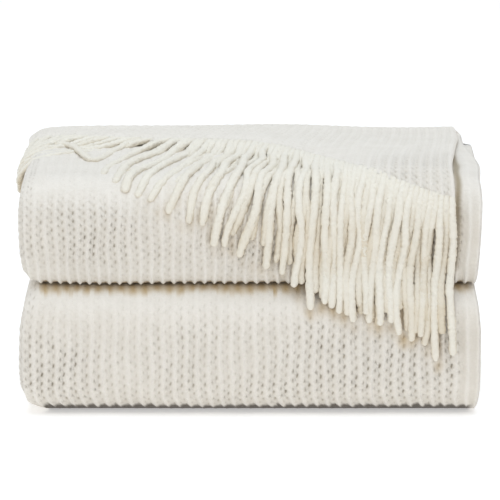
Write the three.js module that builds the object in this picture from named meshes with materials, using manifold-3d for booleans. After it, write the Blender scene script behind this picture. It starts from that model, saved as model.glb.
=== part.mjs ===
// Chenille throw blanket, folded into a two-tier bundle, with one fringed end laid over its top.
// Millimetres, +Z up, the fronts of the folds facing -Y. The origin is the middle of the underside.
import * as THREE from "three";
import { mergeVertices } from "three/addons/utils/BufferGeometryUtils.js";
import Module from "manifold-3d";

const wasm = await Module();
wasm.setup();

// Cloth
const BUNDLE_WIDTH = 317.5;
const CLOTH = 4.0;
const HALF_CLOTH = CLOTH / 2;
const LAYER_PITCH = 4.75;
const RIB_PITCH = 7.2;
const RIB_CREST = 0.7;
const RIB_GROOVE = 0.5;
const SELVEDGE_BULGE = 1.2;

// The throw is first folded in four across its width: layers 1 to 4, counted from the outside.
const LAYER = [1.5, 0.5, -0.5, -1.5].map((step) => step * LAYER_PITCH);
const HALF_STRIP = 1.5 * LAYER_PITCH + HALF_CLOTH;
const RIGHT_EDGE = BUNDLE_WIDTH / 2;
const SECOND_EDGE = RIGHT_EDGE - 1.5;
const LEFT_LOOP_X = -BUNDLE_WIDTH / 2 + HALF_STRIP;
const RIGHT_LOOP_X = RIGHT_EDGE - LAYER_PITCH / 2 - HALF_CLOTH - 2;

// That strip is then folded back and forth along its length between these two lines.
const FRONT_LINE = -62;
const BACK_LINE = 88;
const INNER_FRONT = FRONT_LINE + 4;
const INNER_BACK = BACK_LINE - 6;
const BEND_PUFF = 1.6;

// One row for each leaf of the strip, from the hidden inner end of the lower tier upwards.
// level: height of the leaf's middle; ends: where it stops; radius and steps: the bend after it;
// ribbed: the face whose ribs show around that bend.
const LEAVES = [
  { level: 52.1, starts: INNER_BACK, ends: INNER_FRONT, radius: 10.75, steps: 4 },
  { level: 30.6, ends: BACK_LINE, radius: 10.75, steps: 4, ribbed: "outer1" },
  { level: HALF_STRIP, ends: FRONT_LINE, radius: 26, steps: 8, ribbed: "outer1", puff: BEND_PUFF },
  { level: 73.6, ends: BACK_LINE, radius: 10.1, steps: 4, ribbed: "outer4" },
  { level: 93.8, ends: FRONT_LINE, radius: 26, steps: 8, ribbed: "outer1", puff: BEND_PUFF },
  { level: 153.8, ends: BACK_LINE, radius: 10, steps: 4, ribbed: "between12", top: true },
  { level: 133.8, ends: INNER_FRONT, radius: 7.6, steps: 4 },
  { level: 118.6, ends: INNER_BACK },
];
const TOP_LEAF = LEAVES.find((leaf) => leaf.top);

// The top layer's free end is turned back at the rear and lies over the top as a flap.
const FLAP_OVERHANG = 10;
const FLAP_RISE = 6.4;
const FLAP_LOOP_STEPS = 3;
const FLAP_STEPS = 9;
const FLAP_STEP_BIAS = 1.35;
const FLAP_UNDER_STEPS = 10;
const HEM_STEPS = 42;
const FLAP_SHIFT = 17;
const FLAP_LEFT_AT_HEM = -112;
const FLAP_GATHER_FROM = -20;
const FLAP_GATHER_EASE = 0.3;

// The surface on which flap and fringe lie: back to front over the top, round the upper bend, then down.
const DRAPE_REAR = BACK_LINE + FLAP_OVERHANG;
const DRAPE_LEVEL = TOP_LEAF.level + LAYER[0] + FLAP_RISE;
const DRAPE_TURN = FRONT_LINE - 1.5;
const DRAPE_RADIUS = LEAVES[4].radius + LAYER[0] + FLAP_RISE;

// Hem of the flap, from right to left. x: across; reach: distance along the drape from its rear.
const HEM = [
  { x: 141.75, reach: 191 },
  { x: 114, reach: 186 },
  { x: 92, reach: 172 },
  { x: 71, reach: 145 },
  { x: 50, reach: 120 },
  { x: 28, reach: 97 },
  { x: 6, reach: 74 },
  { x: -18, reach: 60 },
  { x: -46, reach: 51 },
  { x: -80, reach: 47 },
  { x: FLAP_LEFT_AT_HEM, reach: 48 },
];

// Fringe
const HEM_GAP = 0.4;
const HEM_STRIP = 4;
const HEM_STRIP_THICK = 3.6;
const STRAND_COUNT = 41;
const STRAND_WIDTH = 4.7;
const STRAND_STEPS = 8;
const STRAND_INSET = 4.5;
const STRAND_WAVE = 1.1;
const STRAND_WAVE_LENGTH = 78;
const STRAND_WAVE_STEP = 0.42;
const STRAND_UNEVEN = 7;
const FRONT_STRAIGHTENING = 0.5;

// How the strands lie, from right to left. x: root; lean: degrees to the left; length: along the strand.
const STRANDS = [
  { x: 142, lean: 1, length: 115 },
  { x: 90, lean: 1, length: 118 },
  { x: 50, lean: 4, length: 138 },
  { x: 15, lean: 8, length: 156 },
  { x: -25, lean: 13, length: 160 },
  { x: -60, lean: 16, length: 150 },
  { x: -88, lean: 18, length: 132 },
  { x: -112, lean: 21, length: 106 },
];

// Value of a named column at x, smoothed between the rows of a table that runs from right to left.
function columnAt(table, column, x) {
  const points = table.map((row) => row.x);
  let i = 0;
  while (i < points.length - 2 && x < points[i + 1]) i += 1;
  const t = THREE.MathUtils.clamp((points[i] - x) / (points[i] - points[i + 1]), 0, 1);
  const at = (k) => table[THREE.MathUtils.clamp(k, 0, table.length - 1)][column];
  const [before, from, to, after] = [at(i - 1), at(i), at(i + 1), at(i + 2)];
  const cubic = -before + 3 * from - 3 * to + after;
  const square = 2 * before - 5 * from + 4 * to - after;
  return from + 0.5 * t * (to - before + t * (square + t * cubic));
}

// Triangles of one closed surface, collected as bare points and merged at the end.
class Surface {
  constructor() {
    this.points = [];
  }

  triangle(a, b, c) {
    this.points.push(...a, ...b, ...c);
  }

  // Joins two edges that run the same way; the faces look to the right of the step from a to b.
  zip(a, b) {
    let i = 0;
    let j = 0;
    while (i < a.length - 1 || j < b.length - 1) {
      const nextA = (i + 1) / (a.length - 1);
      const nextB = (j + 1) / (b.length - 1);
      if (j === b.length - 1 || (i < a.length - 1 && nextA <= nextB)) {
        this.triangle(a[i], b[j], a[i + 1]);
        i += 1;
      } else {
        this.triangle(a[i], b[j], b[j + 1]);
        j += 1;
      }
    }
  }

  // Joins the same named runs of two rings.
  join(ring, next, names) {
    for (const name of names) this.zip(ring[name], next[name]);
  }

  geometry() {
    const soup = new THREE.BufferGeometry();
    soup.setAttribute("position", new THREE.Float32BufferAttribute(this.points, 3));
    return mergeVertices(soup, 1e-3);
  }
}

// Points [across, depth] of an arc about a centre, between two angles in degrees.
function arc(x, n, radius, fromDegrees, toDegrees, steps) {
  return Array.from({ length: steps + 1 }, (_, k) => {
    const angle = THREE.MathUtils.degToRad(THREE.MathUtils.lerp(fromDegrees, toDegrees, k / steps));
    return [x + radius * Math.cos(angle), n + radius * Math.sin(angle)];
  });
}

// Ends of every rib groove and crest from right to left, as the share of the way across.
function ribShares(from, to) {
  const ribs = Math.round(Math.abs(from - to) / RIB_PITCH);
  return Array.from({ length: 2 * ribs + 1 }, (_, k) => k / (2 * ribs));
}

// A straight face of one layer: plain, or with ribs at a share of their full height and a swell, puff of x.
function face(from, to, depth, out, height, puff = () => 0) {
  if (height === undefined) return [[from, depth], [to, depth]];
  const shares = ribShares(from, to);
  return shares.map((share, k) => {
    const x = THREE.MathUtils.lerp(from, to, share);
    const edge = k === 0 || k === shares.length - 1;
    const relief = height * (k % 2 ? RIB_CREST : -RIB_GROOVE);
    return [x, depth + out * (edge ? 0 : relief + puff(x))];
  });
}

function selvedge(x, layer) {
  return [[x, layer - HALF_CLOTH], [x + SELVEDGE_BULGE, layer], [x, layer + HALF_CLOTH]];
}

// Section of the four-layer strip: one ribbon from layer 1's free right edge to layer 2's, as named runs
// of [across, depth] in order around it.
const RUNS = [
  "outer1", "leftOuter", "outer4", "rightOuter", "inner3", "leftCore", "inner2", "edge2",
  "between12", "leftBetween", "between34", "rightInner", "inner4", "leftInner", "inner1", "edge1",
];
function stripSection(ribs, puff) {
  const [one, two, three, four] = LAYER;
  const loop = LAYER_PITCH / 2;
  return {
    outer1: face(RIGHT_EDGE, LEFT_LOOP_X, one + HALF_CLOTH, 1, ribs.outer1, puff),
    leftOuter: arc(LEFT_LOOP_X, 0, HALF_STRIP, 90, 270, 6),
    outer4: face(LEFT_LOOP_X, RIGHT_LOOP_X, four - HALF_CLOTH, -1, ribs.outer4),
    rightOuter: arc(RIGHT_LOOP_X, -LAYER_PITCH, loop + HALF_CLOTH, -90, 90, 4),
    inner3: face(RIGHT_LOOP_X, LEFT_LOOP_X, three + HALF_CLOTH),
    leftCore: arc(LEFT_LOOP_X, 0, loop - HALF_CLOTH, 270, 90, 2),
    inner2: face(LEFT_LOOP_X, SECOND_EDGE, two - HALF_CLOTH),
    edge2: selvedge(SECOND_EDGE, two),
    between12: face(SECOND_EDGE, LEFT_LOOP_X, two + HALF_CLOTH, 1, ribs.between12),
    leftBetween: arc(LEFT_LOOP_X, 0, loop + HALF_CLOTH, 90, 270, 3),
    between34: face(LEFT_LOOP_X, RIGHT_LOOP_X, three - HALF_CLOTH),
    rightInner: arc(RIGHT_LOOP_X, -LAYER_PITCH, loop - HALF_CLOTH, 90, -90, 2),
    inner4: face(RIGHT_LOOP_X, LEFT_LOOP_X, four + HALF_CLOTH),
    leftInner: arc(LEFT_LOOP_X, 0, LAYER[0] - HALF_CLOTH, 270, 90, 4),
    inner1: face(LEFT_LOOP_X, RIGHT_EDGE, one - HALF_CLOTH),
    edge1: selvedge(RIGHT_EDGE, one),
  };
}

// Low swells of a front bend: uneven from left to right, none at its top and bottom.
function bendPuff(height, turned, leaf) {
  const strength = height * Math.sin(turned * Math.PI) ** 2;
  return (x) => strength * (0.5 + 0.3 * Math.sin(x / 41 + leaf) + 0.2 * Math.sin(x / 17 + 2 * leaf));
}

// Stations of the fold: where the strip's middle runs, which way it heads, and how high the ribs of its
// shown faces stand. Ribs rise over the first step of a bend, and stay up along the top leaf.
function foldStations() {
  const stations = [];
  LEAVES.forEach((leaf, index) => {
    const before = LEAVES[index - 1];
    const start = before ? before.ends : leaf.starts;
    const away = Math.sign(leaf.ends - start);
    const straight = { leaf, z: leaf.level, heading: away > 0 ? 0 : Math.PI, ribs: {} };
    if (!before) stations.push({ ...straight, y: start });
    const onTop = leaf.top ? { outer1: 1 } : {};
    stations.push({ ...straight, y: leaf.ends, ribs: leaf.ribbed ? { ...onTop, [leaf.ribbed]: 0 } : {} });
    const next = LEAVES[index + 1];
    if (!next) return;
    const up = Math.sign(next.level - leaf.level);
    for (let k = 1; k <= leaf.steps; k += 1) {
      const turned = k / leaf.steps;
      const past = turned * 2 > 1;
      const angle = turned * Math.PI;
      const base = past ? next.level - up * leaf.radius : leaf.level + up * leaf.radius;
      stations.push({
        leaf,
        y: leaf.ends + away * leaf.radius * Math.sin(angle),
        z: base - up * leaf.radius * Math.cos(angle),
        heading: Math.atan2(up * Math.sin(angle), away * Math.cos(angle)),
        ribs: leaf.ribbed ? { [leaf.ribbed]: turned < 1 || next.top ? 1 : 0 } : {},
        puff: leaf.puff && bendPuff(leaf.puff, turned, index),
      });
    }
  });
  return stations;
}

// Section points set at a station, square to the way the strip heads.
function ringAt(station, section) {
  const sine = Math.sin(station.heading);
  const cosine = Math.cos(station.heading);
  const place = ([x, n]) => [x, station.y - n * sine, station.z + n * cosine];
  return Object.fromEntries(Object.entries(section).map(([name, run]) => [name, run.map(place)]));
}

// Point of the drape at a reach, raised along its normal.
function drape(x, reach, raised) {
  const along = reach - (DRAPE_REAR - DRAPE_TURN);
  if (along <= 0) return [x, DRAPE_REAR - reach, DRAPE_LEVEL + raised];
  const angle = Math.min(along / DRAPE_RADIUS, Math.PI / 2);
  const below = along - angle * DRAPE_RADIUS;
  const radius = DRAPE_RADIUS + raised;
  const centre = DRAPE_LEVEL - DRAPE_RADIUS;
  return [x, DRAPE_TURN - radius * Math.sin(angle), centre + radius * Math.cos(angle) - below];
}

// Across position of a thread of the flap at its hem: shifted left, and drawn in towards its left end.
function hemX(x) {
  if (x > FLAP_GATHER_FROM) return x - FLAP_SHIFT;
  const share = (x - LEFT_LOOP_X) / (FLAP_GATHER_FROM - LEFT_LOOP_X);
  const eased = share * (1 - FLAP_GATHER_EASE + FLAP_GATHER_EASE * share);
  return THREE.MathUtils.lerp(FLAP_LEFT_AT_HEM, FLAP_GATHER_FROM - FLAP_SHIFT, eased);
}

// Rings of the flap, beyond the rear end of the top leaf: overhang, loop, then forward to the hem.
const FLAP_RUNS = ["outer1", "tear", "inner1", "edge1"];
function flapSection(place, flatSteps) {
  const ribs = ribShares(LEFT_LOOP_X, RIGHT_EDGE);
  const inner = ribs.map((share, k) => {
    const edge = k === 0 || k === ribs.length - 1;
    const x = THREE.MathUtils.lerp(LEFT_LOOP_X, RIGHT_EDGE, share);
    return place(x, HALF_CLOTH + (edge ? 0 : k % 2 ? RIB_CREST : -RIB_GROOVE));
  });
  const flat = Array.from({ length: flatSteps + 1 }, (_, k) => {
    return place(THREE.MathUtils.lerp(RIGHT_EDGE, LEFT_LOOP_X, k / flatSteps), -HALF_CLOTH);
  });
  return {
    outer1: flat,
    tear: [flat.at(-1), inner[0]],
    inner1: inner,
    edge1: [inner.at(-1), place(RIGHT_EDGE + SELVEDGE_BULGE, 0), flat[0]],
  };
}

function flapRings() {
  const rings = [];
  const loop = FLAP_RISE / 2;
  for (let k = 0; k <= FLAP_LOOP_STEPS; k += 1) {
    const angle = (Math.PI * k) / FLAP_LOOP_STEPS;
    rings.push(flapSection((x, raised) => {
      const radius = loop + raised;
      const centre = DRAPE_LEVEL - loop;
      return [x, DRAPE_REAR + radius * Math.sin(angle), centre - radius * Math.cos(angle)];
    }, FLAP_UNDER_STEPS));
  }
  for (let k = 1; k <= FLAP_STEPS; k += 1) {
    const share = 1 - (1 - k / FLAP_STEPS) ** FLAP_STEP_BIAS;
    const drift = THREE.MathUtils.smoothstep(share, 0, 1);
    rings.push(flapSection((x, raised) => {
      const end = hemX(x);
      return drape(THREE.MathUtils.lerp(x, end, drift), share * columnAt(HEM, "reach", end), raised);
    }, k === FLAP_STEPS ? HEM_STEPS : FLAP_UNDER_STEPS));
  }
  return rings;
}

// Flat closing face of a ring: the named runs in order make its outline.
function closeRing(surface, section, ring, names, facesBack) {
  const outline = (runs) => names.flatMap((name) => runs[name].slice(0, -1));
  const corners = outline(ring);
  const flat = outline(section).map(([x, n]) => new THREE.Vector2(x, n));
  for (const [a, b, c] of THREE.ShapeUtils.triangulateShape(flat, [])) {
    if (facesBack) surface.triangle(corners[a], corners[c], corners[b]);
    else surface.triangle(corners[a], corners[b], corners[c]);
  }
}

// The whole cloth: the four-layer strip up to the top leaf's rear end, where layer 1 leaves it as the flap
// and layers 2 to 4 go on down into the upper tier.
function blanketGeometry() {
  const surface = new Surface();
  const parting = RUNS.slice(1, -2).concat("tear");
  const stations = foldStations();
  const last = stations.findLastIndex((station) => station.leaf.top && station.z === TOP_LEAF.level);
  const sections = stations.map((station) => stripSection(station.ribs, station.puff));
  const rings = stations.map((station, i) => ringAt(station, sections[i]));
  rings.forEach((ring, i) => {
    sections[i].tear = [sections[i].leftInner.at(-1), sections[i].leftOuter[0]];
    ring.tear = [ring.leftInner.at(-1), ring.leftOuter[0]];
    if (i > 0) surface.join(rings[i - 1], ring, i <= last ? RUNS : parting);
  });
  closeRing(surface, sections[0], rings[0], RUNS, false);
  closeRing(surface, sections.at(-1), rings.at(-1), parting, true);

  const root = { ...rings[last], tear: [...rings[last].tear].reverse() };
  const flap = [root, ...flapRings()];
  flap.slice(1).forEach((ring, i) => surface.join(flap[i], ring, FLAP_RUNS));
  const hem = flap.at(-1);
  surface.zip(hem.outer1, [...hem.inner1].reverse());
  surface.triangle(hem.edge1[2], hem.edge1[1], hem.edge1[0]);
  return surface.geometry();
}

// Closed tube of four sides along a list of square frames.
function fourSided(frames) {
  const surface = new Surface();
  frames.slice(1).forEach((frame, i) => surface.zip([...frames[i], frames[i][0]], [...frame, frame[0]]));
  const [first, last] = [frames[0], frames.at(-1)];
  surface.triangle(first[0], first[1], first[2]);
  surface.triangle(first[0], first[2], first[3]);
  surface.triangle(last[0], last[2], last[1]);
  surface.triangle(last[0], last[3], last[2]);
  return surface.geometry();
}

// Hem of the flap as across and reach, pushed out from the cloth by a distance.
function hemPoint(x, out) {
  const reach = columnAt(HEM, "reach", x);
  const slope = columnAt(HEM, "reach", x + 0.5) - columnAt(HEM, "reach", x - 0.5);
  const length = Math.hypot(slope, 1);
  return [x - (out * slope) / length, reach + out / length];
}

// Narrow strip that binds the strands, just clear of the hem.
function hemStrip() {
  const half = HEM_STRIP_THICK / 2;
  const frames = Array.from({ length: HEM_STEPS + 1 }, (_, k) => {
    const x = THREE.MathUtils.lerp(HEM[0].x, FLAP_LEFT_AT_HEM, k / HEM_STEPS);
    const near = hemPoint(x, HEM_GAP);
    const far = hemPoint(x, HEM_GAP + HEM_STRIP);
    return [drape(...far, -half), drape(...near, -half), drape(...near, half), drape(...far, half)];
  });
  return fourSided(frames);
}

// One strand: it follows the lean of the place it crosses, and hangs straighter once over the front.
function strand(index) {
  const share = index / (STRAND_COUNT - 1);
  const rootX = THREE.MathUtils.lerp(HEM[0].x - STRAND_INSET, FLAP_LEFT_AT_HEM + STRAND_INSET, share);
  const uneven = STRAND_UNEVEN * Math.sin(index * index * 1.7);
  const step = (columnAt(STRANDS, "length", rootX) + uneven) / STRAND_STEPS;
  const half = STRAND_WIDTH / 2;
  const turn = DRAPE_REAR - DRAPE_TURN;
  let [x, reach] = hemPoint(rootX, HEM_GAP + HEM_STRIP / 2);
  const frames = [];
  for (let k = 0; k <= STRAND_STEPS; k += 1) {
    const over = THREE.MathUtils.smoothstep(reach, turn, turn + DRAPE_RADIUS * Math.PI * 0.5);
    const lean = columnAt(STRANDS, "lean", x) * (1 - FRONT_STRAIGHTENING * over);
    const angle = THREE.MathUtils.degToRad(lean);
    const [aside, ahead] = [Math.cos(angle) * half, Math.sin(angle) * half];
    const phase = (k * step * 2 * Math.PI) / STRAND_WAVE_LENGTH + index * STRAND_WAVE_STEP;
    const wave = k === 0 ? 0 : STRAND_WAVE * Math.sin(phase);
    const [left, right] = [x + wave - aside, x + wave + aside];
    frames.push([
      drape(right, reach + ahead, -half),
      drape(left, reach - ahead, -half),
      drape(left, reach - ahead, half),
      drape(right, reach + ahead, half),
    ]);
    x -= step * Math.sin(angle);
    reach += step * Math.cos(angle);
  }
  return fourSided(frames);
}

function solidOf(geometry) {
  const vertProperties = new Float32Array(geometry.attributes.position.array);
  const triVerts = new Uint32Array(geometry.index.array);
  return new wasm.Manifold(new wasm.Mesh({ numProp: 3, vertProperties, triVerts }));
}

function fringeGeometry() {
  let fringe = solidOf(hemStrip());
  for (let index = 0; index < STRAND_COUNT; index += 1) fringe = fringe.add(solidOf(strand(index)));
  const mesh = fringe.getMesh();
  const geometry = new THREE.BufferGeometry();
  geometry.setAttribute("position", new THREE.Float32BufferAttribute(mesh.vertProperties, 3));
  geometry.setIndex(Array.from(mesh.triVerts));
  return geometry;
}

const group = new THREE.Group();
const chenille = { color: 0xece7dc, roughness: 0.95, metalness: 0 };
const blanket = new THREE.Mesh(blanketGeometry(), new THREE.MeshStandardMaterial(chenille));
blanket.name = "blanket";
const yarn = { color: 0xf0ece2, roughness: 0.95, metalness: 0 };
const fringe = new THREE.Mesh(fringeGeometry(), new THREE.MeshStandardMaterial(yarn));
fringe.name = "fringe";
group.add(blanket, fringe);

// Middle of the underside to the origin.
const box = new THREE.Box3().setFromObject(group);
const middle = box.getCenter(new THREE.Vector3());
for (const mesh of group.children) mesh.geometry.translate(-middle.x, -middle.y, -box.min.z);

export default group;
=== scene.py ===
"""Folded chenille throw with one fringed end laid over its top and down its front."""
import math

import bpy
import numpy as np
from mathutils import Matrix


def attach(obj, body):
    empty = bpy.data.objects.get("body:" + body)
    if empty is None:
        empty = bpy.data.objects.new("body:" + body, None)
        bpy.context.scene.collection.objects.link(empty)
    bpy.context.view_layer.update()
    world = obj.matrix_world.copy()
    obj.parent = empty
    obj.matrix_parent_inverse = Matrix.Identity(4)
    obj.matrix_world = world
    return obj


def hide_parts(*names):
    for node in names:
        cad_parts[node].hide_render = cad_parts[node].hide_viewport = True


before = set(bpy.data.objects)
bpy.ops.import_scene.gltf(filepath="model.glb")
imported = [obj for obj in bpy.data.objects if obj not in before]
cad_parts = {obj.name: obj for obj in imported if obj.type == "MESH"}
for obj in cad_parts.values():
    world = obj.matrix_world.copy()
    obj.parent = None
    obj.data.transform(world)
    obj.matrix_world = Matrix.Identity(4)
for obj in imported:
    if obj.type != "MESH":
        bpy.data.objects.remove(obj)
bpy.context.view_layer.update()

# Sizes of the fold in millimetres, the same as in the part's source. PLACE moves them to the part's origin.
# ONE to FOUR are the depths of the four layers' middles in the strip.
PLACE = np.array((-0.6, -1.6, 0.0))
HALF_CLOTH = 2.0
LAYER_PITCH = 4.75
ONE, TWO, THREE, FOUR = np.array((1.5, 0.5, -0.5, -1.5)) * LAYER_PITCH
HALF_STRIP = 1.5 * LAYER_PITCH + HALF_CLOTH
RIGHT_EDGE = 158.75
SECOND_EDGE = RIGHT_EDGE - 1.5
LEFT_LOOP = -RIGHT_EDGE + HALF_STRIP
RIGHT_LOOP = RIGHT_EDGE - LAYER_PITCH / 2 - HALF_CLOTH - 2
SELVEDGE_BULGE = 1.2
SELVEDGE_POINTS = 7
FRONT_LINE = -62.0
BACK_LINE = 88.0
INNER_FRONT = FRONT_LINE + 4
INNER_BACK = BACK_LINE - 6

# Knit. FINE and COARSE are the shares of a rib at which the mesh has columns.
STITCH = 6.4
FINE = (0.0, 0.14, 0.27, 0.40, 0.50, 0.60, 0.74, 0.87)
COARSE = (0.0, 0.22, 0.42, 0.68)
LOWER_RIB = 8.1
UPPER_RIB = 7.3
PLAIN_RIBS = 1.3
EDGE_STITCH = 0.6
# Places across one rib. The material's finer loops and small holes lie further on than the mesh's.
HOLE_AT = 0.40
LOOP_AT = 0.58
SMALL_HOLE_AT = 0.74
FINE_LOOP_AT = 0.63
FINE_SMALL_HOLE_AT = 0.82
# Ribs that have their own unevenness, and rows after which it repeats.
UNEVEN_RIBS = 80
UNEVEN_ROWS = 61

# Leaves of the strip from the inside of the lower tier upwards. level: height of the middle; ends: where
# the leaf stops; radius: the bend after it; foot: radius of that bend's first quarter, where it differs;
# rows: steps round the bend; look: the run of the section that shows there, its rib pitch and its columns.
UPPER_LEVEL = 153.8
UPPER_RADIUS = 26.0
LEAVES = [
    dict(level=52.1, ends=INNER_FRONT, radius=10.75, rows=8, look=dict()),
    dict(level=30.6, ends=BACK_LINE, radius=10.75, rows=16, look=dict(shown="outer1", rib=LOWER_RIB)),
    dict(level=HALF_STRIP, ends=FRONT_LINE - 14, radius=12.0, foot=22.0, rows=76,
         look=dict(shown="outer1", rib=LOWER_RIB, shares=FINE)),
    dict(level=75.2, ends=BACK_LINE, radius=9.3, rows=16, look=dict(shown="outer4")),
    dict(level=93.8, ends=FRONT_LINE, radius=UPPER_RADIUS, foot=5.0, rows=74,
         look=dict(shown="outer1", rib=UPPER_RIB, shares=FINE)),
    dict(level=UPPER_LEVEL, ends=BACK_LINE, radius=10.0, rows=16, look=dict(shown="between12")),
    dict(level=133.8, ends=INNER_FRONT, radius=7.6, rows=8, look=dict()),
    dict(level=118.6, ends=INNER_BACK),
]
LOWER_FRONT = 2
UPPER_FRONT = 4
TOP_ROWS = 20
FRONT_PUFF = 2.0
# The rolled right end of the upper tier: distance of its groove from the edge, and the ribs it takes up.
ROLL_GROOVE = 15.2
ROLL_RIBS = 6
# A painted crease shade or painted shadow this far from its start leaves no mark.
# Its edge is ragged, thread by thread.
UNMARKED = -9.0
RAGGED_THREADS = 160

# The settled stack: level and lift, then level and how far the left and right ends draw in there.
LIFTED = np.array([(0, 0), (84, 7.4), (150, 1.0), (175, 0.3)])
DRAWN_ENDS = np.array([
    (0, 6.5, 2.0),
    (8, 2.4, 0.4),
    (20, 0.4, -0.6),
    (35, 0.0, -0.8),
    (62, 0.6, -0.8),
    (78, 2.6, 0.8),
    (90, 4.4, 3.0),
    (100, 2.2, 1.2),
    (112, 0.4, 0.0),
    (125, 0.0, -0.8),
    (150, -0.5, -2.0),
    (158, 0.0, -1.6),
    (164, 0.5, -0.4),
    (169, 1.6, 2.0),
    (173, 3.0, 5.0),
])
LOWER_FORWARD = 8.0
UPPER_BACK = 13.0

# Flap. It turns down over the left end by a quarter turn at END_TURN.
FLAP_OVERHANG = 10.0
FLAP_RISE = 6.4
FLAP_SHIFT = 18.5
FLAP_LEFT = -163.0
FLAP_DRAWN = 7.5
FLAP_SPREAD = 15.0
FLAP_FINE_RIBS = 16.0
FLAP_UNDER_POINTS = 25
FLAP_LOOP_ROWS = 10
FLAP_ROWS = 72
END_TURN = -149.0
END_RADIUS = 14.5
DRAPE_REAR = BACK_LINE + FLAP_OVERHANG
DRAPE_LEVEL = UPPER_LEVEL + ONE + FLAP_RISE
DRAPE_TURN = FRONT_LINE - 1.5
DRAPE_RADIUS = UPPER_RADIUS + ONE + FLAP_RISE
# The hem runs gently forwards from the left end and steps down at the front right.
HEM_LEFT = 32.0
HEM_SLOPE = 0.14
HEM_STEP = 131.0
HEM_MIDDLE = 51.0
HEM_SOFTNESS = 23.0

# Fringe. Strands from FLAT_FROM on lie on the top and turn down over the left end. More lie under the rest.
STRAND_RADIUS = 2.9
STRAND_FLATNESS = 0.74
STRAND_ROWS = 84
STRAND_SIDES = 12
STRAND_ROOTS = np.concatenate((
    np.linspace(138, 18, 19),
    np.linspace(10, -60, 10),
    np.linspace(-70, -156, 10),
))
FLAT_FROM = 29
HANGING_ROOTS = STRAND_ROOTS[:FLAT_FROM]
UNDER_ROOTS = np.concatenate(((HANGING_ROOTS[1:] + HANGING_ROOTS[:-1]) / 2, np.linspace(126, 24, 8)))
ROOT_OVERLAP = 4.5
TIP_STEPS = np.array((0.45, 0.8, 0.97))
FULL_TURN = 6.3
# A guide says how the strands near it lie: across at the root, shift halfway down and at the tip, length.
GUIDES = np.array([
    (140, 2, 2, 114),
    (130, -4, -5, 107),
    (110, -8, -10, 101),
    (80, -6, -9, 122),
    (50, -2, -4, 156),
    (30, -6, -10, 164),
    (15, -10, -30, 162),
    (-10, -14, -30, 165),
    (-30, -17, -40, 158),
    (-50, -28, -45, 144),
    (-60, -30, -42, 118),
    (-72, -56, -112, 120),
    (-115, -31, -61, 76),
    (-156, -6, -16, 44),
])
# One strand lies in a loose, bell-shaped bow on the top.
BOW_ENDS = (-78.0, -147.0)
BOW_MIDDLE = -111.0
BOW_REACH = 45.0
BOW_HANG = 62.0
BOW_WIDTH = 14.0
BOW_STEP = 1.8

# Painted shade tones that both yarns use: a tan one for creases and a dark one for shadow
CREASE_SHADE_TONE = (0.57, 0.44, 0.26)
SHADOW_TONE = (0.06, 0.045, 0.03)

# Studio in metres: name, place, power and tint of each lamp.
LAMP_SIZE = 2.6
LAMP_AIM = (0, 0, 0.08)
LAMPS = (
    ("key", (-1.6, -2.4, 1.6), 7.5, (1.0, 0.97, 0.95)),
    ("front", (1.0, -3.0, 0.6), 7.5, (1.0, 0.87, 0.78)),
    ("overhead", (0.0, -0.2, 2.8), 45.0, (0.78, 0.885, 1.0)),
)
CAMERA_AIM = (0.0, -0.1046, 0.1184)
CAMERA_DISTANCE = 3.0
CAMERA_TILT = 11.5
CAMERA_LENS = 313.0


def smoothstep(value, low, high):
    """Share of the way from low to high, eased at both ends."""
    share = np.clip((np.asarray(value, float) - low) / (high - low), 0, 1)
    return share * share * (3 - 2 * share)


def bell(across, along, wide, tall):
    """1 in the middle, falling off both ways as exp of minus the squares of the two distances."""
    return np.exp(-((across / wide) ** 2) - (along / tall) ** 2)


def waves(a, b, seed, low=0.02, high=0.09):
    """Soft uneven field over two coordinates: a sum of sines of random direction, length and phase."""
    count = 7
    random = np.random.default_rng(seed)
    turn = random.uniform(0, 2 * np.pi, count)
    rate = random.uniform(low, high, count)
    phase = random.uniform(0, 2 * np.pi, count)
    total = sum(np.sin(r * (a * np.cos(d) + b * np.sin(d)) + p) for d, r, p in zip(turn, rate, phase))
    return total / math.sqrt(count)


def column(values):
    """One value, or one for each row, as a column."""
    return np.reshape(values, (-1, 1))


def knit(rib, stitch, plain=PLAIN_RIBS, open_share=1.0):
    """Rib knit at numbered ribs and stitches: height in millimetres, hollow share, which is painted shade
    in the holes and between the ridges, and the rib, row and weight that the material reads. Across one
    rib there is a smooth ridge, a column of slanted holes, one to a stitch, and loops and small holes half
    a stitch further on, each a bell. The ribs next to the selvedge are plain, and open_share scales holes
    and loops."""
    random = np.random.default_rng(5)
    numbered = np.clip(np.floor(rib).astype(int), 0, UNEVEN_RIBS - 1)
    jitter = random.uniform(-0.12, 0.12, UNEVEN_RIBS)[numbered]
    row = stitch + jitter + 0.12 * np.sin(0.61 * rib + 0.23 * stitch)
    a = rib % 1.0
    near = row - np.round(row)
    half = row + 0.5 - np.round(row + 0.5)
    worked = smoothstep(rib, plain, plain + 0.8) * open_share
    worn = random.uniform(0.35, 1.25, (UNEVEN_RIBS, UNEVEN_ROWS))
    patchy = np.clip(1.0 + 0.5 * waves(rib, stitch, 12, low=0.15, high=0.6), 0.4, 1.15)
    uneven = worn[numbered, np.round(row).astype(int) % UNEVEN_ROWS] * patchy
    ridge = bell(np.minimum(a, 1 - a), 0, 0.19, 1)
    hole = worked * uneven * bell(a - HOLE_AT + 0.20 * near, near, 0.095, 0.25)
    small = worked * uneven * bell(a - SMALL_HOLE_AT + 0.10 * half, half, 0.09, 0.22)
    loop = worked * bell(a - LOOP_AT + 0.12 * half, half, 0.12, 0.30)
    beaded = 1 + 0.16 * worked * np.cos(2 * np.pi * (row + 0.3))
    height = -0.8 + 1.65 * ridge * beaded - 1.5 * hole - 0.7 * small + 1.0 * loop
    hollow = np.clip(0.28 * hole + 0.16 * small + (0.30 - 0.12 * worked) * (1 - ridge), 0, 1)
    return height, hollow, np.stack(np.broadcast_arrays(rib, row, worked * patchy), -1)


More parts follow.
